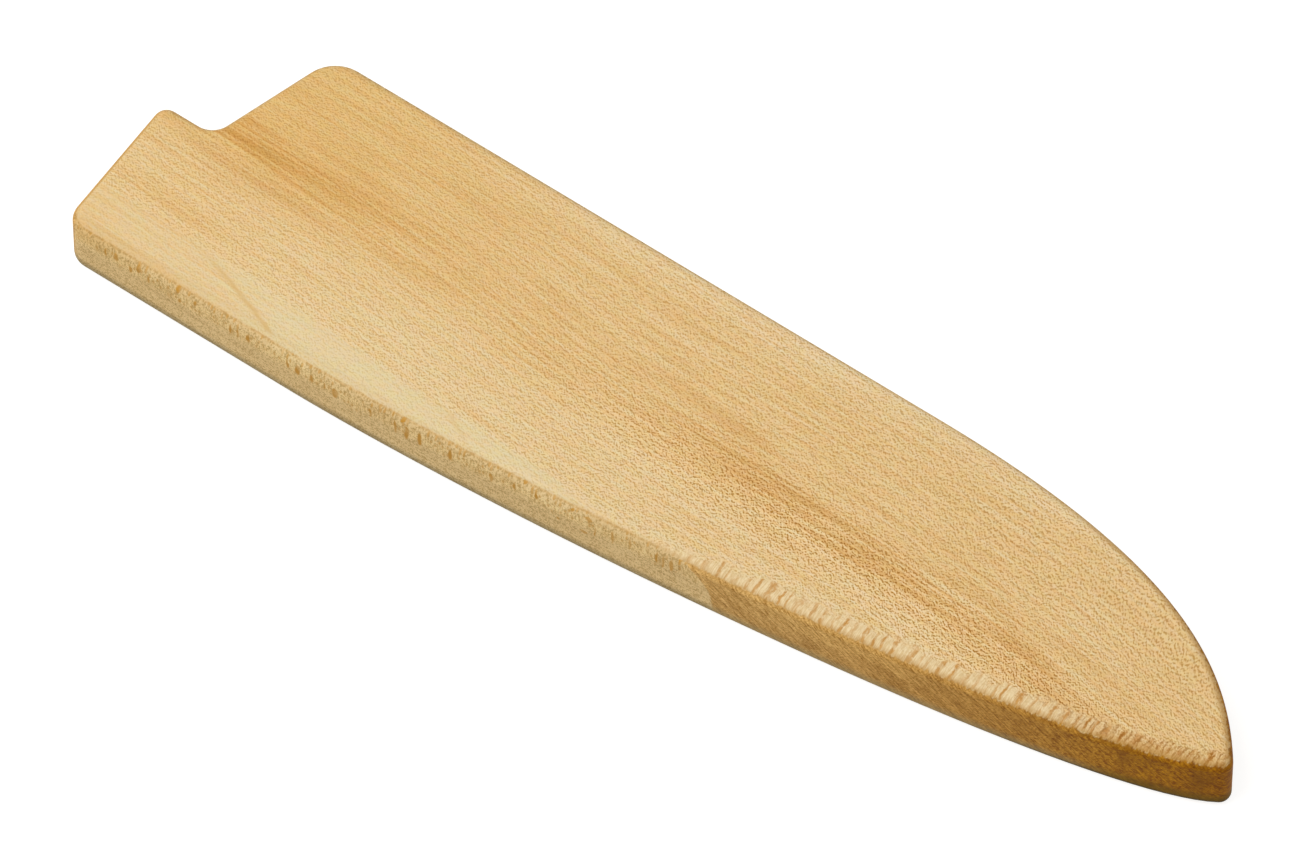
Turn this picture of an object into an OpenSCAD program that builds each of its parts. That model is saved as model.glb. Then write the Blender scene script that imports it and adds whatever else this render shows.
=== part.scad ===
// Wooden blade guard for a chef's knife, lying on its back leaf.
// A block is sawn into two leaves, the back leaf is hollowed for the blade,
// magnets are let into the front leaf, and the leaves are glued together again.
// X runs towards the tip, Y from the edge side to the spine side, Z is up.
// The origin is under the middle of the guard, on the face that it rests on.

/* [Guard] */
// Length from the end of the heel lobe to the tip
guard_length = 224; // [210:1:250]
// Width at the back end, from the edge side to the spine side
guard_width = 54; // [50:0.5:64]
// Thickness of the two leaves together
guard_thickness = 13.2; // [12:0.1:18]
// Radius of the rounding round the rim of each outer face
rim_radius = 2; // [0.8:0.1:2.1]

/* [Back end] */
// Width of the lobe that covers the heel of the blade
lobe_width = 29.2; // [22:0.1:36]
// How far the lobe reaches back past the notch
lobe_reach = 10.5; // [7:0.1:18]
// How far the shoulder leans towards the tip between the notch and the spine
shoulder_lean = 7.9; // [0:0.1:16]
// Radius of the lobe's corner at the edge side
lobe_outer_radius = 4; // [2.2:0.1:8]
// Radius of the lobe's corner at the notch
lobe_inner_radius = 2.5; // [2.2:0.1:4]
// Radius in the bottom of the notch
notch_radius = 3.9; // [1.5:0.1:6]
// Radius of the shoulder's corner at the spine
shoulder_radius = 7.1; // [3:0.1:12]

/* [Edge side] */
// Straight stretch of the edge side, from the end of the lobe
edge_straight = 46.5; // [20:0.5:80]
// Fullness of the belly where it leaves the straight, as a share of its run
edge_fullness = 0.275; // [0.15:0.005:0.4]
// Fullness of the belly behind the nose, as a share of its run
edge_tip_fullness = 0.13; // [0.05:0.005:0.25]
// Slope of the belly where it meets the nose, in degrees
edge_end_slope = 33; // [20:1:42]

/* [Spine side] */
// Straight stretch of the spine, measured from the end of the lobe
spine_straight = 145.7; // [110:0.1:165]
// Fullness of the drop where it leaves the straight, as a share of its run
spine_fullness = 0.645; // [0.4:0.005:0.75]
// Fullness of the drop above the nose, as a share of its run
spine_tip_fullness = 0.225; // [0.1:0.005:0.3]
// Slope of the drop where it meets the nose, in degrees
spine_end_slope = 54; // [40:1:68]

/* [Nose] */
// Height of the nose above the straight stretch of the edge side
nose_height = 26; // [20:0.1:34]
// Radius of the blunt nose
nose_radius = 2.2; // [2.1:0.1:5]

/* [Blade pocket] */
// Depth of the pocket in the back leaf, which is the thickness of the slot
pocket_depth = 3.6; // [3:0.1:4]
// Wall between the pocket and the edge side
edge_wall = 5; // [3.5:0.1:7]
// Wall between the pocket and the spine side
spine_wall = 4.5; // [3:0.1:7]
// Wood between the pocket's end and the tip of the guard
tip_wall = 10; // [8:0.1:16]
// Radius of the pocket's end, for the point of the blade
pocket_end_radius = 3; // [1.5:0.1:5]
// Width of the easing round the mouth of the slot
mouth_easing = 1.2; // [0.6:0.1:2]
// Depth of that easing in the pocket's floor and in the front leaf
mouth_easing_depth = 0.8; // [0.4:0.1:1.2]

/* [Magnets] */
// Diameter of a disc magnet
magnet_diameter = 10; // [6:0.5:12]
// Thickness of a disc magnet
magnet_thickness = 2; // [1:0.1:2.5]
// Distance of the first magnet from the end of the lobe
magnet_start = 46; // [30:0.5:56]
// Distance from one magnet to the next
magnet_pitch = 48; // [20:0.5:50]
// Distance of the magnets' middles from the pocket's wall at the spine
magnet_inset = 10; // [7:0.1:16]
// Room round a magnet in its seat, for the glue
seat_clearance = 0.1; // [0.05:0.01:0.25]
// How far a magnet lies below the front leaf's face, so that the blade clears it
magnet_sink = 0.2; // [0.1:0.05:0.4]

/* [Hidden] */
leaf_thickness = guard_thickness / 2;
magnet_row = guard_width - spine_wall - magnet_inset;
seat_depth = magnet_thickness + magnet_sink;
// How far a cut runs on past the face that it opens
overcut = 5;
// How far the easing's slope runs on past the faces that it meets
easing_margin = 0.2;
curve_steps = 40;
corner_steps = 12;
rim_steps = 8;
maple = [0.87, 0.75, 0.55];
nickel = [0.78, 0.78, 0.8];

// Points of a curve that leaves a towards b and arrives at d from c
function curve(a, b, c, d) = [
    for (i = [0 : curve_steps])
        let (t = i / curve_steps, s = 1 - t)
        s * s * s * a + 3 * s * s * t * b + 3 * s * t * t * c + t * t * t * d
];

// Points of an arc, from one angle to another
function arc(middle, radius, start, end) = [
    for (i = [0 : corner_steps])
        let (angle = start + (end - start) * i / corner_steps)
        middle + radius * [cos(angle), sin(angle)]
];

// Points that round the corner at b, on the way from a to c
function rounded(a, b, c, radius) =
    let (
        back = (a - b) / norm(a - b),
        ahead = (c - b) / norm(c - b),
        half = acos(back * ahead) / 2,
        middle = b + (back + ahead) / norm(back + ahead) * radius / sin(half),
        first = b + back * radius / tan(half) - middle,
        start = atan2(first.y, first.x),
        side = cross(ahead, back) > 0 ? 1 : -1
    )
    arc(middle, radius, start, start + side * (180 - 2 * half));

// The belly, the nose and the drop of the spine. The guard and its pocket share
// them, each with its own edge line, spine line, end and nose radius.
function blade_sides(edge_y, spine_y, end_x, radius) =
    let (
        nose = [end_x - radius, nose_height],
        edge_start = [edge_straight, edge_y],
        edge_end = nose + radius * [sin(edge_end_slope), -cos(edge_end_slope)],
        edge_run = edge_end.x - edge_start.x,
        edge_way = [cos(edge_end_slope), sin(edge_end_slope)],
        spine_start = [spine_straight, spine_y],
        spine_end = nose + radius * [sin(spine_end_slope), cos(spine_end_slope)],
        spine_run = spine_end.x - spine_start.x,
        spine_way = [cos(spine_end_slope), -sin(spine_end_slope)]
    )
    concat(
        curve(
            edge_start,
            edge_start + [edge_run * edge_fullness, 0],
            edge_end - edge_run * edge_tip_fullness * edge_way,
            edge_end
        ),
        arc(nose, radius, edge_end_slope - 90, 90 - spine_end_slope),
        curve(
            spine_end,
            spine_end - spine_run * spine_tip_fullness * spine_way,
            spine_start + [spine_run * spine_fullness, 0],
            spine_start
        )
    );

// Outline of the guard, with the end of the lobe at x = 0 and the edge side at y = 0,
// drawn in by an inset. Its first point sees every other one across the wood.
function guard_outline(inset) =
    let (
        spine_y = guard_width - inset,
        step_y = lobe_width - inset,
        lean = shoulder_lean / (guard_width - lobe_width),
        shift = inset * sqrt(1 + lean * lean),
        notch = [lobe_reach + shift - inset * lean, step_y],
        shoulder = [lobe_reach + shoulder_lean + shift - inset * lean, spine_y],
        lobe_inner = [inset, step_y],
        lobe_outer = [inset, inset],
        edge_start = [edge_straight, inset],
        spine_start = [spine_straight, spine_y]
    )
    concat(
        blade_sides(inset, spine_y, guard_length - inset, nose_radius - inset),
        rounded(spine_start, shoulder, notch, shoulder_radius - inset),
        rounded(shoulder, notch, lobe_inner, notch_radius + inset),
        rounded(notch, lobe_inner, lobe_outer, lobe_inner_radius - inset),
        rounded(lobe_inner, lobe_outer, edge_start, lobe_outer_radius - inset)
    );

// A solid through the outline at several levels, each a [height, inset] pair, from below up
module through_levels(levels) {
    count = len(guard_outline(0));
    top = count * (len(levels) - 1);
    points = [
        for (level = levels)
            for (point = guard_outline(level[1]))
                [point.x, point.y, level[0]]
    ];
    sides = [
        for (ring = [0 : count : top - 1])
            for (i = [0 : count - 1])
                let (next = (i + 1) % count)
                for (face = [
                    [ring + i, ring + count + i, ring + count + next],
                    [ring + i, ring + count + next, ring + next]
                ])
                face
    ];
    underside = [for (i = [0 : count - 1]) i];
    upper_side = [for (i = [0 : count - 1]) top + (count - i) % count];
    polyhedron(points, concat(sides, [underside, upper_side]));
}

// Outline of the blade pocket, which runs out of the back end
module pocket_outline() {
    polygon(concat(
        blade_sides(edge_wall, guard_width - spine_wall, guard_length - tip_wall, pocket_end_radius),
        [[-overcut, guard_width - spine_wall], [-overcut, edge_wall]]
    ));
}

// A leaf before it is hollowed: the joint face is at z = 0, the rounded face up
module leaf_blank() {
    rim = [
        for (i = [0 : rim_steps])
            let (angle = 90 * i / rim_steps)
            [
                leaf_thickness - rim_radius + rim_radius * sin(angle),
                rim_radius - rim_radius * cos(angle)
            ]
    ];
    through_levels(concat([[0, 0]], rim));
}

// What the easing round the mouth of the slot takes off a face at this height
module mouth_cut(face) {
    slope = mouth_easing / mouth_easing_depth;
    difference() {
        translate([-overcut, edge_wall, face - easing_margin / 2])
            cube([
                overcut + lobe_reach + shoulder_lean + mouth_easing,
                guard_width - edge_wall - spine_wall,
                mouth_easing_depth + easing_margin
            ]);
        through_levels([
            [face - easing_margin, mouth_easing + slope * easing_margin],
            [face + mouth_easing_depth + easing_margin, -slope * easing_margin]
        ]);
    }
}

// Puts a drawing made from the lobe's end and the edge side over the origin
module centred() {
    translate([-guard_length / 2, -guard_width / 2, leaf_thickness])
        children();
}

// Place of a magnet, counted from the heel, on the joint face
module at_magnet(place) {
    translate([magnet_start + place * magnet_pitch, magnet_row, 0])
        children();
}

// The front leaf is flat inside, with a round seat for each magnet
module front_leaf() {
    color(maple)
        centred()
            difference() {
                leaf_blank();
                mouth_cut(0);
                for (place = [0 : 2])
                    at_magnet(place)
                        translate([0, 0, -overcut])
                            cylinder(
                                overcut + seat_depth,
                                d = magnet_diameter + 2 * seat_clearance,
                                $fn = 64
                            );
            }
}

// The back leaf holds the whole pocket, with the other face of the slot as its floor
module back_leaf() {
    color(maple)
        centred()
            mirror([0, 0, 1])
                difference() {
                    leaf_blank();
                    translate([0, 0, -overcut])
                        linear_extrude(pocket_depth + overcut)
                            pocket_outline();
                    mouth_cut(pocket_depth);
                }
}

module magnet(place) {
    color(nickel)
        centred()
            at_magnet(place)
                translate([0, 0, magnet_sink])
                    cylinder(magnet_thickness, d = magnet_diameter, $fn = 64);
}

module heel_magnet() {
    magnet(0);
}

module middle_magnet() {
    magnet(1);
}

module tip_magnet() {
    magnet(2);
}

front_leaf();
back_leaf();
heel_magnet();
middle_magnet();
tip_magnet();
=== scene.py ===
import math

import bmesh
import bpy
import numpy as np
from mathutils import Matrix, Vector

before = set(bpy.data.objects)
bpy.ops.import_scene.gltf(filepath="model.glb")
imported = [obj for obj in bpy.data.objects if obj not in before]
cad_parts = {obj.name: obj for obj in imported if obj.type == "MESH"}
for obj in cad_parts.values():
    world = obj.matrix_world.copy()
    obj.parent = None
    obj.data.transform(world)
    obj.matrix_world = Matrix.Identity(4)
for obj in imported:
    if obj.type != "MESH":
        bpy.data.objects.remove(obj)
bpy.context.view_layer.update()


# The two leaves. One block of flat-sawn maple is sawn apart, hollowed and glued again, so one
# grain runs through both. It is sanded smooth and oiled: rays show as short dashes on the
# broad faces and as upright flecks on the sides, and the oil darkens the wood cut at the tip.
class Grain:
    """The nodes of one material, with places in millimetres."""

    def __init__(self, name):
        self.material = bpy.data.materials.new(name)
        self.material.use_nodes = True
        self.tree = self.material.node_tree
        self.shader = self.tree.nodes["Principled BSDF"]
        coordinates = self.add("TexCoord")
        scale = self.add("VectorMath", operation="SCALE")
        scale.inputs["Scale"].default_value = 1000
        self.join(coordinates.outputs["Object"], scale.inputs[0])
        self.place = scale.outputs[0]
        self.facing = coordinates.outputs["Normal"]

    def add(self, kind, **settings):
        node = self.tree.nodes.new("ShaderNode" + kind)
        for name, value in settings.items():
            setattr(node, name, value)
        return node

    def join(self, value, socket):
        if isinstance(value, bpy.types.NodeSocket):
            self.tree.links.new(value, socket)
        else:
            socket.default_value = value

    def work(self, kind, *values):
        node = self.add("Math", operation=kind)
        for value, socket in zip(values, node.inputs):
            self.join(value, socket)
        return node.outputs[0]

    def plus(self, *values):
        total = values[0]
        for value in values[1:]:
            total = self.work("ADD", total, value)
        return total

    def times(self, *values):
        total = values[0]
        for value in values[1:]:
            total = self.work("MULTIPLY", total, value)
        return total

    def swing(self, noise, amount):
        """Noise round 0 instead of 0.5, so that it pushes a place to either side."""
        return self.times(self.plus(noise, -0.5), amount)

    def parts(self, vector):
        node = self.add("SeparateXYZ")
        self.join(vector, node.inputs[0])
        return node.outputs

    def vector(self, x, y, z):
        node = self.add("CombineXYZ")
        for value, socket in zip((x, y, z), node.inputs):
            self.join(value, socket)
        return node.outputs[0]

    def noise(self, place, sizes, turn=0, detail=2, rough=0.5, warp=0.0):
        """Noise whose patches are as long as the sizes, turned about Z by some degrees."""
        node = self.add("Mapping")
        node.inputs["Rotation"].default_value[2] = math.radians(turn)
        self.join(place, node.inputs["Vector"])
        sized = self.add("VectorMath", operation="DIVIDE")
        self.join(node.outputs[0], sized.inputs[0])
        sized.inputs[1].default_value = sizes
        node = self.add("TexNoise")
        self.join(sized.outputs[0], node.inputs["Vector"])
        node.inputs["Scale"].default_value = 1
        node.inputs["Detail"].default_value = detail
        node.inputs["Roughness"].default_value = rough
        node.inputs["Distortion"].default_value = warp
        return node.outputs["Fac"]

    def spots(self, across, along, spacing):
        """How far a place is from the middle of a scattered spot, and each spot's own luck."""
        node = self.add("TexVoronoi", voronoi_dimensions="2D")
        place = self.vector(self.work("DIVIDE", across, spacing[0]),
                            self.work("DIVIDE", along, spacing[1]), 0)
        self.join(place, node.inputs["Vector"])
        node.inputs["Scale"].default_value = 1
        return node.outputs["Distance"], self.parts(node.outputs["Color"])[0]

    def step(self, value, low, high, bottom=0.0, top=1.0):
        """A smooth change from the bottom to the top, while the value goes from low to high."""
        node = self.add("MapRange", interpolation_type="SMOOTHSTEP")
        for name, part in (("Value", value), ("From Min", low), ("From Max", high),
                           ("To Min", bottom), ("To Max", top)):
            self.join(part, node.inputs[name])
        return node.outputs[0]

    def hump(self, value, middle, half):
        """1 at the middle, falling to 0 at half a width on either side."""
        away = self.work("ABSOLUTE", self.work("SUBTRACT", value, middle))
        return self.step(away, half, 0)

    def curve(self, value, points):
        """A smooth curve through a few (value, result) points, both with any range."""
        lows = [min(point[i] for point in points) for i in (0, 1)]
        spans = [max(point[i] for point in points) - lows[i] for i in (0, 1)]
        node = self.add("FloatCurve")
        line = node.mapping.curves[0]
        for _ in points[2:]:
            line.points.new(0.5, 0.5)
        for handle, point in zip(line.points, points):
            handle.location = [(point[i] - lows[i]) / spans[i] for i in (0, 1)]
        node.mapping.update()
        share = self.work("DIVIDE", self.work("SUBTRACT", value, lows[0]), spans[0])
        self.join(share, node.inputs["Value"])
        return self.plus(self.times(node.outputs[0], spans[1]), lows[1])

    def ramp(self, value, stops):
        """The colour for a value, from a few (value, colour) stops between 0 and 1."""
        node = self.add("ValToRGB")
        line = node.color_ramp.elements
        for place, _ in stops[1:-1]:
            line.new(place)
        for stop, (place, colour) in zip(line, stops):
            stop.position = place
            stop.color = (*colour, 1)
        self.join(value, node.inputs["Fac"])
        return node.outputs["Color"]

    def mix(self, share, low, high, kind="MIX"):
        node = self.add("Mix", data_type="RGBA", blend_type=kind)
        self.join(share, node.inputs["Factor"])
        for colour, socket in ((low, node.inputs[6]), (high, node.inputs[7])):
            if isinstance(colour, tuple):
                colour = (*colour, 1)
            self.join(colour, socket)
        return node.outputs[2]


def edge_line(leaf, stations):
    """(x, y) points in millimetres along a leaf's edge side, read off its mesh."""
    points = np.array([vertex.co for vertex in leaf.data.vertices]) * 1000
    joint = points[np.abs(points[:, 2] - points[:, 2].min()) < 0.01]
    tip = joint[joint[:, 0].argmax()]
    belly = joint[(joint[:, 1] <= tip[1]) & (joint[:, 0] > 0.3 * joint[:, 0].min())]
    belly = belly[belly[:, 0].argsort()]
    heights = np.interp(stations, belly[:, 0], belly[:, 1])
    return [(x, float(y)) for x, y in zip(stations, heights)]


class Maple(Grain):
    """Oiled maple, painted one feature of the wood over the other."""

    def __init__(self, name, edge_points):
        super().__init__(name)
        self.x, self.y, self.z = self.parts(self.place)
        facing_x, self.facing_y, facing_z = self.parts(self.facing)
        # 1 where the surface lies level, 0 where it stands upright
        self.level = self.work("ABSOLUTE", facing_z)
        self.side = self.step(self.level, 0.88, 0.74)
        self.back = self.step(facing_x, -0.45, -0.55)
        # how far a place is from the edge side
        self.inward = self.work("SUBTRACT", self.y, self.curve(self.x, edge_points))
        # the grain sways on its way to the tip, and less so along the spine
        sway = self.curve(self.x, [(-105, 4.8), (-90, 4.2), (-70, 3.5), (-45, 1.5), (-20, -1.5),
                                   (0, -2), (35, -2.2), (50, -3.2), (70, -4.7), (90, -7.9),
                                   (105, -10.4)])
        calm = self.step(self.y, 26, 4, 0.3, 1)
        self.across = self.work("SUBTRACT", self.y, self.times(sway, calm))
        self.flow = self.vector(self.x, self.across, self.z)
        self.wisps = self.noise(self.flow, (26, 1.3, 6), detail=3, rough=0.6, warp=0.2)
        rough = self.noise(self.place, (2.5, 1.5, 2.5), detail=3, rough=0.6)
        self.rough = self.plus(rough, -0.5)
        # below 0 in the plain strip along the edge side, where the rays don't show
        self.strip = self.plus(self.y, self.times(self.x, 0.038), 21.5, self.swing(self.wisps, -4))

    def paint(self, share, colour, kind="MIX"):
        self.colour = self.mix(share, self.colour, colour, kind)

    def shade(self, pattern, share, dark, pale):
        """Darker and paler wood by turns, from a pattern round 0.5."""
        self.paint(share, self.mix(self.step(pattern, 0.3, 0.7), dark, pale), "MULTIPLY")

    def lines(self, pattern, share, dark, pale):
        """The same, with thin dark lines on a broader pale ground."""
        low = self.step(pattern, 0.7, 0.3)
        self.paint(share, self.mix(self.times(low, low), pale, dark), "MULTIPLY")

    def tone(self):
        """The board's broad colours: cream along the edge side, an amber streak in the middle."""
        hues = ((0, (0.745, 0.59, 0.325)), (0.3, (0.745, 0.537, 0.266)),
                (0.5, (0.735, 0.494, 0.214)), (0.8, (0.675, 0.405, 0.148)),
                (1, (0.61, 0.34, 0.105)))
        bands = self.noise(self.flow, (70, 5, 14), detail=4, rough=0.6, warp=0.3)
        threads = self.noise(self.flow, (22, 0.5, 6), detail=1)
        body = self.curve(self.across, [(-28, 0.22), (-18, 0.3), (-12, 0.34), (-8, 0.38),
                                        (-5, 0.46), (-2, 0.5), (20, 0.5), (28, 0.4)])
        heel = self.times(self.step(self.x, -45, -95), self.step(self.across, -2, -8), 0.12)
        body = self.plus(body, self.streak(threads), heel, self.wisps_of_colour())
        cream = self.curve(self.x, [(-110, 0.36), (-90, 0.25), (-60, 0.02), (-30, 0.03),
                                    (0, 0.17), (15, 0.3)])
        inside = self.step(self.strip, -1.6, 1.6)
        warmth = self.plus(cream, self.times(self.work("SUBTRACT", body, cream), inside),
                           self.swing(bands, 0.3), self.swing(threads, 0.85))
        self.colour = self.ramp(warmth, hues)
        self.tone_of_the_borders()
        speckle = self.noise(self.place, (0.9, 0.5, 5), detail=1)
        self.shade(speckle, 1, (1.02, 1, 0.93), (0.98, 1, 1.07))
        tint = self.noise(self.place, (2.4, 1.4, 5), detail=1)
        self.shade(tint, 1, (1.015, 0.985, 1), (0.985, 1.015, 1))

    def streak(self, threads):
        """The amber streak along the middle, strongest at the heel and before the tip."""
        strength = self.curve(self.x, [(-105, 0.24), (-90, 0.26), (-70, 0.2), (-50, 0.11),
                                       (-30, 0.08), (-5, 0.12), (14, 0.28), (60, 0.3),
                                       (80, 0.24), (105, 0.15)])
        aside = self.work("ABSOLUTE", self.plus(self.across, self.swing(self.wisps, 9)))
        return self.times(strength, self.step(aside, 5.2, 1),
                          self.step(threads, 0.3, 0.62, 0.55, 1.3))

    def wisps_of_colour(self):
        """Darker and paler wisps of the broad face, each with its place, half length, half
        width and depth."""
        wisps = (
            (-28, 5.2, 48, 1.5, 0.12), (-26, -4.6, 20, 1.4, 0.14), (10, -8.8, 26, 1.4, 0.13),
            (30, -13, 20, 1.4, 0.1), (-60, 16.5, 26, 1.8, 0.14), (-62, 7, 22, 1.2, 0.14),
            (16, 9, 12, 1, 0.16), (-66, 12, 16, 1.4, -0.1), (-20, 9.4, 16, 1.4, -0.08),
            (-30, 1, 24, 1.4, -0.12), (48, -0.5, 26, 1.3, -0.16), (60, 1.6, 24, 1.4, 0.1),
            (-98, -14, 24, 3.4, 0.2), (-76, -2, 36, 1.5, 0.2), (-70, 2.4, 22, 1.2, -0.16),
            (5, 1.4, 22, 1.2, 0.14), (52, -6.6, 20, 1.5, -0.14), (64, -9.6, 14, 1.2, 0.12),
            (0, 5.6, 28, 2.4, 0.12), (-25, 3, 24, 1.3, 0.16), (-62, 1, 26, 1.3, -0.16),
            (20, 1, 12, 1.2, 0.14), (80, 1, 18, 1.8, 0.16), (-90, -1.2, 26, 1.8, 0.15),
            (25, -3, 16, 1.5, -0.12), (-16, -3.2, 12, 1.2, 0.14), (-10, -5, 42, 1.4, 0.1),
            (71, -6, 13, 2, -0.24), (95, -2, 16, 2.4, 0.12), (40, -7, 12, 1.4, 0.16),
            (82, -12.4, 13, 2, -0.22), (80, -15.4, 10, 2.2, -0.12), (34, -15, 22, 2.2, -0.12),
            (-30, -18.8, 16, 2, 0.16), (80, 18, 16, 3.4, -0.14), (0, 21, 22, 3, -0.05),
            (-15, -0.8, 10, 1.2, -0.14), (64, -12, 8, 1.4, 0.1), (95, -9, 9, 1.8, 0.16),
            (-72, 8, 30, 0.8, 0.1), (-34, 19.5, 18, 1.6, 0.15), (8, 6.2, 10, 1.7, 0.12),
            (20, -5, 9, 1.1, 0.1), (45, 9, 9, 1.2, -0.1), (-58, 6, 11, 1.4, 0.1),
            (56, -3, 6, 1, 0.1), (90, -5, 7, 1.4, 0.08), (-95, -6, 9, 1.5, 0.1),
            (-42, -5, 9, 1, 0.08))
        wavering = self.plus(self.y, self.swing(self.wisps, 5))
        total = 0
        for x, y, half_length, half_width, depth in wisps:
            wisp = self.times(self.hump(self.x, x, half_length),
                              self.hump(wavering, y, half_width), depth)
            total = self.plus(total, wisp)
        return total

    def tone_of_the_borders(self):
        """Amber over the heel, and cream along the spine and on the arris of the edge side."""
        heel_amber = (0.969, 0.903, 0.724)
        spine_cream = (1.03, 1.10, 1.26)
        arris_cream = (1.03, 1.09, 1.16)
        heel = self.curve(self.x, [(-110, 1), (-75, 0.7), (-60, 0.4), (-42, 0.12), (-20, 0)])
        self.paint(self.times(heel, self.step(self.across, -7, -2)), heel_amber, "MULTIPLY")
        spine = self.times(self.step(self.y, 18.5, 25.5), self.step(self.x, -75, -25))
        self.paint(spine, spine_cream, "MULTIPLY")
        arris = self.times(self.hump(self.y, -26, 1.8), self.step(self.x, -95, -60),
                           self.step(self.x, 20, -10))
        self.paint(arris, arris_cream, "MULTIPLY")

    def crumbs(self, place):
        """Very fine noise, from two sheets so that neither shows as a pattern."""
        sheets = [self.noise(place, (0.34, 0.26, 3), turn, detail=0) for turn in (0, 28)]
        # spread out again after the adding, and still round 0.5
        return self.plus(self.times(self.plus(*sheets), 0.72), -0.22)

    def dashes(self):
        """Short dashes of the rays on the broad faces, which lie along the grain like ripples."""
        dark, pale = (0.51, 0.32, 0.02), (1.204, 1.303, 1.538)
        beside = self.vector(self.x, self.plus(self.across, 0.3), self.z)
        crumbs = self.crumbs(self.flow)
        relief = self.work("SUBTRACT", crumbs, self.crumbs(beside))
        threads = [self.noise(place, (7, 0.4, 5), detail=0) for place in (self.flow, beside)]
        self.rays = self.plus(crumbs, self.times(relief, 1.05),
                              self.times(self.work("SUBTRACT", *threads), 0.28))
        middle = self.times(self.hump(self.across, -3, 10), self.step(self.x, -40, 20), 0.35)
        strength = self.times(self.step(self.strip, -0.8, 0.8, 0.48, 1),
                              self.plus(self.step(self.x, -100, 80, 0.39, 0.56), middle))
        low = self.step(self.rays, 1.25, -0.11)
        self.paint(strength, self.mix(self.times(low, low, low), pale, dark), "MULTIPLY")

    def growth_lines(self):
        """Thin lines where two years' growth leaves the upper face in the plain strip, each
        with its place, half length, slope and strength."""
        growths = ((-80, -21.3, 12, -0.34, 0.7), (-33, -22, 5, -0.5, 0.3))
        line_brown = (0.66, 0.43, 0.16)
        upper = self.step(self.level, 0.75, 0.95)
        for x, y, half_length, slope, strength in growths:
            along = self.plus(self.x, -x)
            aside = self.plus(self.y, -y, self.times(along, -slope),
                              self.times(along, along, 0.003), self.times(self.rough, 0.8))
            line = self.times(self.hump(aside, 0, 0.85), self.step(along, -half_length, 0),
                              self.step(along, half_length, half_length - 3))
            self.paint(self.times(line, upper, strength), line_brown)

    def side_wood(self):
        """The sides, cut along the rays: pale, with thin growth lines low down and painted shade where
        they round over.
        """
        pale = (0.835, 0.59, 0.27)
        rim_turn_shade = (0.845, 0.84, 0.85)
        bright = (1.115, 1.125, 1.105)
        heel_brown = (0.94, 0.88, 0.77)
        line_brown = (0.60, 0.39, 0.15)
        self.paint(self.times(self.side, 0.92), pale)
        # painted shade: the sides are darker where they round over into the broad faces, to hold down
        # the light that falls there
        upright = self.step(self.level, 0.06, 0.38)
        self.paint(self.times(self.side, upright), rim_turn_shade, "MULTIPLY")
        self.paint(self.times(self.side, self.hump(self.z, 10.1, 2.8)), bright, "MULTIPLY")
        heel = self.times(self.side, self.step(self.x, -94, -106), self.step(self.z, 8, 12))
        self.paint(heel, heel_brown, "MULTIPLY")
        height = self.plus(self.z, self.times(self.x, 0.078))
        years = self.noise(self.vector(self.times(self.x, 0.03), 0, height), (1, 1, 0.35),
                           detail=3, rough=0.6)
        share = self.times(self.side, self.step(years, 0.44, 0.64, 0, 0.6),
                           self.step(self.z, 11, 7, 0.2, 1))
        self.paint(share, line_brown)
        fine = self.noise(self.place, (0.3, 40, 0.34), detail=1)
        self.lines(fine, self.side, (0.71, 0.66, 0.53), (1.125, 1.15, 1.21))

    def small_flecks(self):
        """The ends of the rays: upright stripes and flecks high up, and ticks on the arris."""
        fleck_brown, tick_brown = (0.60, 0.30, 0.05), (0.52, 0.30, 0.10)
        groups = self.noise(self.place, (5, 40, 9), detail=2, rough=0.6)
        high = self.step(self.plus(self.z, self.swing(groups, 6)), 7.4, 10)
        stripes = self.noise(self.place, (0.28, 40, 2.2), detail=1, rough=0.6)
        upright = self.times(self.side, high, self.step(self.level, 0.5, 0.1, 0.3, 1))
        self.lines(stripes, upright, (0.82, 0.75, 0.62), (1.055, 1.065, 1.075))
        height = self.plus(self.z, self.times(self.rough, 1.5))
        away, luck = self.spots(self.x, height, (0.8, 1.7))
        spot = self.times(self.step(away, 0.34, 0.22), self.step(luck, 0.45, 0.75))
        self.paint(self.times(self.side, high, spot, 0.6), fleck_brown)
        ticks = self.noise(self.place, (0.9, 40, 0.6), detail=3, rough=0.7)
        turn = self.plus(self.level, self.times(self.rough, 0.2))
        arris = self.times(self.hump(turn, 0.77, 0.09), self.step(self.x, 20, 8))
        self.paint(self.times(arris, self.step(ticks, 0.46, 0.58, 0, 0.6)), tick_brown)

    def side_clouds(self):
        """Paler and darker clouds of the sides, each with its place, half width, half height
        and colour, and painted shade in grey along the lowest edge, next to the table."""
        clouds = ((-64, 11.6, 9, 3, (1.08, 1.13, 1.18)), (-11, 11, 12, 3.4, (1.08, 1.11, 1.18)),
                  (-44, 10.6, 7, 2.6, (0.90, 0.86, 0.81)), (-92, 9.6, 7, 2.8, (0.90, 0.89, 0.86)),
                  (12, 9.8, 6, 3.4, (0.88, 0.87, 0.88)), (-103, 11, 6, 2.4, (0.93, 0.94, 0.93)),
                  (-73, 7, 7, 2.4, (0.95, 0.94, 0.92)))
        lowest_edge_shade = (0.53, 0.56, 0.58)
        length = self.plus(self.x, self.times(self.rough, 6))
        height = self.plus(self.z, self.times(self.rough, 4))
        for x, z, half_width, half_height, colour in clouds:
            cloud = self.times(self.hump(length, x, half_width), self.hump(height, z, half_height))
            self.paint(self.times(self.side, cloud), colour, "MULTIPLY")
        # painted shade: the sides turn greyer along the lowest edge, where they stand on the table
        self.paint(self.times(self.side, self.step(self.z, 3.9, 1.8)), lowest_edge_shade, "MULTIPLY")

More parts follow.
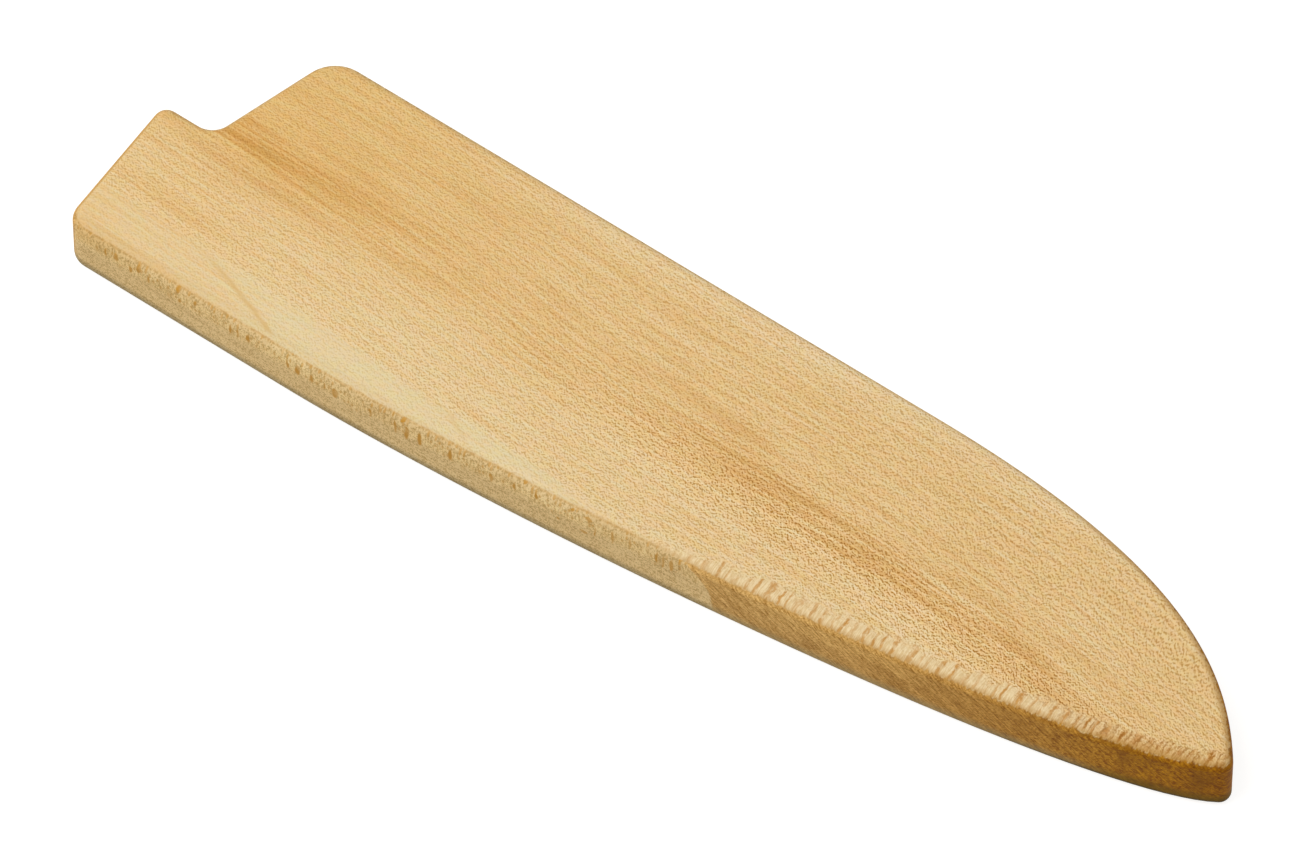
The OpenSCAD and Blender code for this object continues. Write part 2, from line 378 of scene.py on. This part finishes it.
    def large_flecks(self):
        """The flecks that stand out on the edge side, each with its place, half width and half
        height."""
        flecks = ((-103, 10.6, 0.25, 1.2), (-100.9, 10.7, 0.5, 1.35), (-97.8, 9.9, 0.4, 0.9),
                  (-96.1, 11.3, 0.45, 1), (-94, 10, 0.25, 1.1), (-87.8, 12.2, 0.35, 1),
                  (-87.4, 9.3, 0.3, 0.5), (-84.2, 11.3, 0.3, 0.5), (-76.7, 10.1, 0.25, 1.4),
                  (-75.2, 10.1, 0.25, 1.4), (-73, 10.4, 0.45, 1.1), (-64.7, 9.8, 0.35, 1),
                  (-62.6, 9.8, 0.5, 1.4), (-59.7, 9.7, 0.35, 1.4), (-57, 9.8, 0.2, 1),
                  (-54.9, 9.4, 0.55, 1.6), (-47.6, 9.8, 0.25, 1.4), (-42.6, 9.6, 0.3, 2.2),
                  (-41.1, 12.5, 0.4, 0.4), (-40.3, 9.7, 0.45, 2), (-37.6, 9.7, 0.4, 2.1),
                  (-31.5, 10, 0.4, 1.5), (-23.4, 9.6, 0.4, 1.4), (-18.8, 10.6, 0.3, 1),
                  (-17, 12.7, 0.4, 0.5), (-14.4, 11, 0.3, 1.2), (-10.2, 7.3, 0.3, 0.6),
                  (-7.5, 12, 0.3, 0.5), (-4.4, 11.6, 0.9, 0.5), (-5.2, 7.1, 0.8, 0.4),
                  (-3, 9, 0.2, 1.4), (0.4, 9.8, 0.3, 1.9), (3.7, 10.3, 0.25, 1.5),
                  (9, 10.3, 0.25, 1.5), (10.2, 9.8, 0.2, 1.6), (11.8, 9.9, 0.4, 1.6),
                  (13.3, 12, 0.25, 0.8))
        fleck_brown = (0.60, 0.30, 0.05)
        place = self.vector(self.plus(self.x, self.times(self.rough, 1)), 0,
                            self.plus(self.z, self.times(self.rough, 2.5)))
        nearest = 9
        for x, z, half_width, half_height in flecks:
            shifted = self.add("VectorMath", operation="MULTIPLY_ADD")
            self.join(place, shifted.inputs[0])
            shifted.inputs[1].default_value = (1 / half_width, 0, 1 / half_height)
            shifted.inputs[2].default_value = (-x / half_width, 0, -z / half_height)
            away = self.add("VectorMath", operation="LENGTH")
            self.join(shifted.outputs[0], away.inputs[0])
            nearest = self.work("MINIMUM", nearest, away.outputs["Value"])
        fleck = self.times(self.step(nearest, 1.2, 0.75), self.step(self.rough, -0.12, 0.06, 0.6, 1))
        edge_side = self.step(self.facing_y, -0.2, -0.4)
        self.paint(self.times(self.side, edge_side, fleck), fleck_brown)

    def flecked_rim(self):
        """Cream wood with cross bars on the rim of the belly, browner and bolder at the nose."""
        cream, bar_brown = (0.79, 0.61, 0.348), (0.74, 0.50, 0.25)
        stain_brown, stroke_brown = (0.56, 0.31, 0.085), (0.36, 0.15, 0.02)
        rim = self.step(self.level, 0.64, 0.70)
        width = self.times(self.plus(3.2, self.times(self.rough, 5)),
                           self.step(self.x, -4, 32, 0.3, 1))
        past = self.work("SUBTRACT", self.inward, width)
        band = self.times(self.step(past, 1, -0.8), rim, self.step(self.x, 4, 16))
        comb = self.times(self.step(past, 0.8, -0.4), rim, self.step(self.x, 4, 16))
        self.paint(self.times(band, self.step(self.x, 100, 82, 0.15, 0.85)), cream)
        stain = self.times(self.step(self.inward, 3.6, 0.2), rim, self.step(self.x, 82, 97), 0.62)
        self.paint(stain, stain_brown)
        spacing = self.plus(self.times(self.x, 3.1), self.times(self.rough, 5),
                            self.times(self.noise(self.place, (4, 40, 40), detail=0), 11))
        groups = self.noise(self.place, (2.4, 40, 40), detail=1)
        broken = self.noise(self.vector(self.x, self.inward, 0), (0.7, 1.3, 1), detail=2)
        bars = self.times(comb, self.step(self.work("SINE", spacing), 0.1, 0.98),
                          self.step(groups, 0.35, 0.6, 0.4, 1), self.step(broken, 0.36, 0.54, 0.3, 1))
        self.paint(self.times(bars, self.step(self.x, 6, 34, 0.6, 1)), bar_brown, "MULTIPLY")
        strokes = self.times(comb, self.step(self.work("SINE", self.times(spacing, 1.7)), 0.2, 0.9),
                             self.step(broken, 0.4, 0.52, 0.1, 1), self.step(self.x, 77, 90))
        self.paint(self.times(strokes, 0.7), stroke_brown)
        teeth = self.times(self.step(self.inward, 1.5, 0.5), rim, self.step(self.x, 10, 80, 0.25, 0.6))
        self.paint(teeth, stain_brown)
        stripes = self.noise(self.place, (0.25, 1.6, 40), detail=1)
        self.shade(stripes, band, (0.89, 0.83, 0.73), (1.07, 1.10, 1.15))

    def far_roll(self):
        """The rounded rim of the drop, which the oil has darkened as well."""
        roll_brown = (0.56, 0.31, 0.09)
        roll = self.times(self.step(self.facing_y, 0.05, 0.25), self.step(self.level, 0.999, 0.86),
                          self.step(self.x, 40, 80), 0.55)
        self.paint(roll, roll_brown)

    def end_grain(self):
        """Wood cut across the grain, which the oil turns brown: the belly behind its boundary,
        the drop of the spine and the back end."""
        rim_brown_and_shade = (0.52, 0.285, 0.085)
        belly_start, drop_start, thickness = 19.8, 78.5, 13.2
        height = self.work("DIVIDE", self.z, thickness)
        start = self.plus(self.step(self.facing_y, -0.1, 0.1, belly_start, drop_start),
                          self.times(self.work("POWER", height, 3.4), -6.4),
                          self.times(self.rough, 1.2))
        past = self.work("SUBTRACT", self.x, start)
        cut = self.work("MAXIMUM", self.step(past, -0.25, 0.25), self.back)
        fringe = self.noise(self.place, (0.6, 3, 3), detail=2, rough=0.6)
        turn = self.plus(self.level, self.times(self.rough, 0.12),
                         self.swing(fringe, self.step(self.x, 40, 90, 0.4, 0.7)))
        pale_wood = self.colour
        self.brown_wood()
        self.blotches()
        # painted shade along the lowest edge of the brown wood
        self.shade_of_lowest_edge()
        # the rim of the brown wood is painted darker brown: the colour of the oiled end grain, with
        # painted shade that holds down the light falling on the rim as it turns up
        arris = self.times(self.step(turn, 0.4, 0.66), self.step(self.x, 64, 88, 0.42, 0.12))
        self.paint(arris, rim_brown_and_shade)
        brown_wood, self.colour = self.colour, pale_wood
        self.paint(self.times(cut, self.step(turn, 0.76, 0.58)), brown_wood)

    def brown_wood(self):
        """Brown that deepens towards the nose, with slanting years and fine cross hatching."""
        hues = ((0, (0.66, 0.375, 0.11)), (0.18, (0.645, 0.365, 0.105)),
                (0.48, (0.575, 0.298, 0.068)), (0.78, (0.455, 0.195, 0.016)),
                (0.86, (0.43, 0.175, 0.007)), (1, (0.34, 0.12, 0.001)))
        first, last = 15, 112
        bright = (1.15, 1.19, 1.22)
        place = self.work("DIVIDE", self.plus(self.x, -first), last - first)
        self.colour = self.ramp(place, hues)
        slant = self.plus(self.times(self.y, 4.6), self.z, self.times(self.x, 0.12))
        years = self.noise(self.vector(self.times(self.x, 0.1), 0, slant), (1, 1, 1.4),
                           detail=3, rough=0.65, warp=0.3)
        self.shade(years, self.step(self.x, 112, 85, 0.6, 1), (0.80, 0.75, 0.64), (1.16, 1.20, 1.30))
        for lean, length, share in ((1, 3.2, 1), (-1, 1, 0.8)):
            rise = self.plus(self.z, self.times(self.x, lean))
            run = self.plus(self.x, self.times(self.z, -lean))
            hatch = self.noise(self.vector(rise, 0, run), (0.45, 1, length), detail=2, rough=0.65)
            self.lines(hatch, share, (0.60, 0.49, 0.28), (1.155, 1.21, 1.325))
        mottle = self.noise(self.place, (0.9, 40, 0.9), detail=2, rough=0.7)
        self.lines(mottle, self.step(self.x, 66, 92), (0.66, 0.535, 0.33), (1.18, 1.25, 1.39))
        middle = self.times(self.hump(self.z, 10.3, 4.6), self.hump(self.x, 42, 36))
        self.paint(middle, bright, "MULTIPLY")

    def blotches(self):
        """Darker blotches of the brown wood, each with its place, half width, half height and
        strength."""
        blotches = ((93, 12.9, 8, 2, 0.6), (88.5, 12.9, 4.5, 1.4, 0.5), (22, 5, 8, 2, 0.12),
                    (62, 9, 10, 3, 0.12), (95.5, 9, 2.6, 5, 0.5), (99.5, 10.5, 5, 4.5, 0.3),
                    (101, 3.4, 9, 2.2, 0.6), (108, 8, 3, 8, 0.6), (80, 12.8, 6, 1.7, 0.4),
                    (37, 5, 5, 2, 0.2))
        blotch_brown = (0.21, 0.075, 0.002)
        length = self.plus(self.x, self.times(self.rough, 5))
        height = self.plus(self.z, self.times(self.rough, 5))
        for x, z, half_width, half_height, strength in blotches:
            blotch = self.times(self.hump(length, x, half_width),
                                self.hump(height, z, half_height), strength)
            self.paint(blotch, blotch_brown)

    def shade_of_lowest_edge(self):
        """Painted shade: the brown wood darkens towards the table, and more so near the nose."""
        belly_shade = (0.31, 0.27, 0.145)
        nose_shade = (0.16, 0.09, 0.004)
        contact_shade = (0.06, 0.042, 0.006)
        # painted shade low on the brown side, deeper at the nose and darkest on the lowest arris
        belly = self.times(self.step(self.z, 4.4, 1.4, 0, 0.6), self.step(self.x, 98, 84))
        self.paint(belly, belly_shade)
        nose = self.times(self.step(self.z, 4.8, 2.2), self.step(self.x, 84, 96), 0.75)
        self.paint(nose, nose_shade)
        arris = self.times(self.step(self.z, 2.4, 1.4), self.step(self.x, 60, 92), 0.9)
        self.paint(arris, contact_shade)


def oiled_maple(name, edge_points):
    """The material of both leaves: each mark of the wood is painted over the ones before."""
    wood = Maple(name, edge_points)
    wood.tone()
    wood.dashes()
    wood.growth_lines()
    wood.side_wood()
    wood.small_flecks()
    wood.side_clouds()
    wood.large_flecks()
    wood.flecked_rim()
    wood.far_roll()
    wood.end_grain()
    wood.join(wood.colour, wood.shader.inputs["Base Color"])
    wood.shader.inputs["Roughness"].default_value = 0.6
    wood.shader.inputs["Specular IOR Level"].default_value = 0.1
    bump = wood.add("Bump")
    bump.inputs["Strength"].default_value = 0.08
    bump.inputs["Distance"].default_value = 0.0001
    wood.join(wood.rays, bump.inputs["Height"])
    wood.join(bump.outputs[0], wood.shader.inputs["Normal"])
    return wood.material


leaves = [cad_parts[name] for name in ("front_leaf", "back_leaf")]
# places along the guard, in millimetres, at which its edge side is read
stations = range(-100, 111, 15)
MAPLE = oiled_maple("oiled_maple", edge_line(leaves[0], stations))
for leaf in leaves:
    leaf.data.materials.clear()
    leaf.data.materials.append(MAPLE)
    # the loose triangles are joined, smooth where the wood is rounded and sharp at its arrises
    leaf.data.polygons.foreach_set("use_smooth", [True] * len(leaf.data.polygons))
    leaf.modifiers.new("weld", "WELD").merge_threshold = 0.000002
    leaf.modifiers.new("arris", "EDGE_SPLIT").split_angle = math.radians(32)
    leaf.modifiers.new("facing", "WEIGHTED_NORMAL").keep_sharp = True


# The three magnets. Pressed neodymium discs with a bright nickel plating, glued into the seats
# in the front leaf; only a lamp held at the mouth of the slot shows them.
def nickel_plate(name):
    plate = Grain(name)
    plate.shader.inputs["Metallic"].default_value = 1
    plate.shader.inputs["Roughness"].default_value = 0.22
    worn = plate.noise(plate.place, (0.8, 0.8, 0.8), detail=4, rough=0.7)
    plate.join(plate.mix(worn, (0.62, 0.61, 0.58), (0.74, 0.73, 0.70)),
               plate.shader.inputs["Base Color"])
    return plate.material


NICKEL = nickel_plate("nickel_plate")
for name in ("heel_magnet", "middle_magnet", "tip_magnet"):
    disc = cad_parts[name]
    disc.data.materials.clear()
    disc.data.materials.append(NICKEL)


# The studio: a white table, a white room and a wide soft lamp overhead. The camera sees the
# table as white; the shadow stays, and the wood is lit by a table of plain grey.
def in_view(nodes, links):
    """1 for what the camera sees, by itself or in metal, and 0 for what lights the wood."""
    path = nodes.new("ShaderNodeLightPath")
    seen = path.outputs["Is Camera Ray"]
    for name in ("Is Glossy Ray", "Is Transmission Ray"):
        either = nodes.new("ShaderNodeMath")
        either.operation = "MAXIMUM"
        links.new(seen, either.inputs[0])
        links.new(path.outputs[name], either.inputs[1])
        seen = either.outputs[0]
    return seen


# the table lies a hair below the guard, so that their faces don't meet
reach = 3.0
gap = 0.00002
sheet = bmesh.new()
bmesh.ops.create_grid(sheet, x_segments=1, y_segments=1, size=reach,
                      matrix=Matrix.Translation((0, 0, -gap)))
table_top = bpy.data.meshes.new("table")
sheet.to_mesh(table_top)
sheet.free()
table = bpy.data.objects.new("table", table_top)
bpy.context.scene.collection.objects.link(table)
paper = bpy.data.materials.new("white_paper")
paper.use_nodes = True
nodes, links = paper.node_tree.nodes, paper.node_tree.links
matt = nodes["Principled BSDF"]
matt.inputs["Base Color"].default_value = (0.42, 0.41, 0.385, 1)
matt.inputs["Roughness"].default_value = 1
matt.inputs["Specular IOR Level"].default_value = 0
glow = nodes.new("ShaderNodeEmission")
glow.inputs["Strength"].default_value = 0.8
lit = nodes.new("ShaderNodeAddShader")
links.new(matt.outputs[0], lit.inputs[0])
links.new(glow.outputs[0], lit.inputs[1])
seen = nodes.new("ShaderNodeMixShader")
links.new(in_view(nodes, links), seen.inputs[0])
links.new(matt.outputs[0], seen.inputs[1])
links.new(lit.outputs[0], seen.inputs[2])
links.new(seen.outputs[0], nodes["Material Output"].inputs["Surface"])
table.data.materials.append(paper)

world = bpy.data.worlds.new("room")
bpy.context.scene.world = world
world.use_nodes = True
nodes, links = world.node_tree.nodes, world.node_tree.links
sky = nodes["Background"]
sky.inputs["Color"].default_value = (1, 1, 1, 1)
level = nodes.new("ShaderNodeMapRange")
level.inputs["To Min"].default_value = 0.58
level.inputs["To Max"].default_value = 1
links.new(in_view(nodes, links), level.inputs["Value"])
links.new(level.outputs[0], sky.inputs["Strength"])

lamp = bpy.data.lights.new("soft_box", "AREA")
lamp.shape = "DISK"
lamp.size = 1.2
lamp.energy = 10.3
soft_box = bpy.data.objects.new("soft_box", lamp)
soft_box.location = (-0.5, -0.45, 1.15)
soft_box.rotation_euler = (-soft_box.location).to_track_quat("-Z", "Y").to_euler()
soft_box.visible_camera = False
bpy.context.scene.collection.objects.link(soft_box)

# The camera: a long lens three metres away, turned and raised as in the photograph, and aimed
# so that the guard lies where it does in the frame.
turn = math.radians(35.169)
rise = math.radians(58.7)
away = 3.0
aim = Vector((-0.007042, -0.000976, 0.0066))
back = Vector((math.sin(turn) * math.cos(rise), -math.cos(turn) * math.cos(rise), math.sin(rise)))
lens = bpy.data.cameras.new("camera")
lens.sensor_width = 36
lens.lens = 486.44
lens.clip_start = 0.1
lens.clip_end = 20
camera = bpy.data.objects.new("camera", lens)
camera.location = aim + away * back
camera.rotation_euler = (-back).to_track_quat("-Z", "Y").to_euler()
bpy.context.scene.collection.objects.link(camera)
bpy.context.scene.camera = camera

bpy.context.scene.view_settings.view_transform = "Standard"
